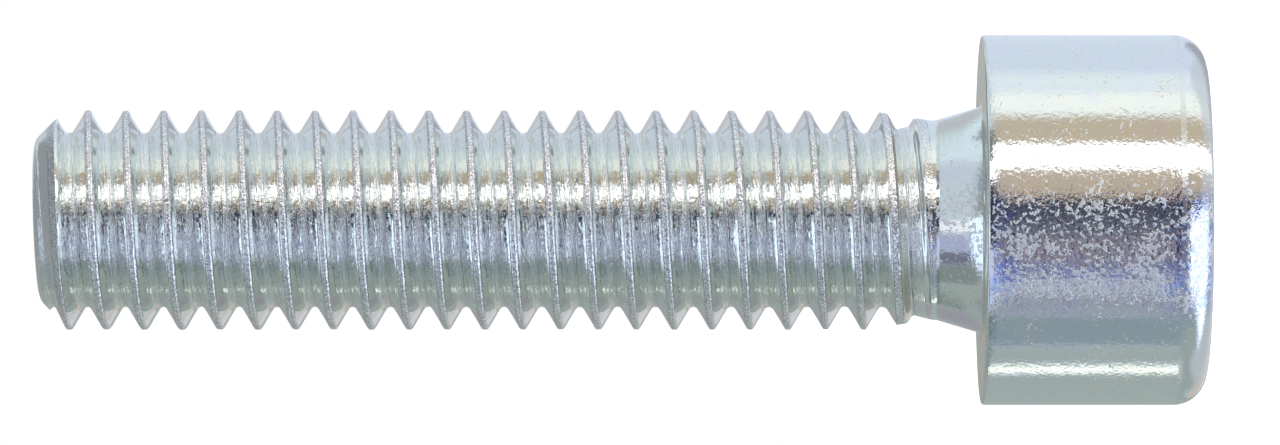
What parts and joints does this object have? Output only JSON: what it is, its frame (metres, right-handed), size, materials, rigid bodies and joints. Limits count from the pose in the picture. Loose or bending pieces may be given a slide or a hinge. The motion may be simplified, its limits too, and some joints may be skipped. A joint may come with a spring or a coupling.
{
  "type": "hex socket cap screw",
  "caption": "Metric hex socket cap screw with a tall round head, rounded rim and full-length coarse right-hand thread, in zinc-plated steel.",
  "frame": {"origin": "centre of the bearing face, the ring under the head that clamps the work", "axes": "+Z along the screw's axis from the head to the tip; the screw stands on its head top; the socket's flats face +Y and -Y"},
  "size_m": [0.0098, 0.0098, 0.0309],
  "materials": {
    "zinc_plated_steel": "bright zinc plate, clear bluish passivation with a faint iridescence"
  },
  "bodies": {
    "root": {"cap_screw": "zinc_plated_steel"}
  },
  "joints": []
}
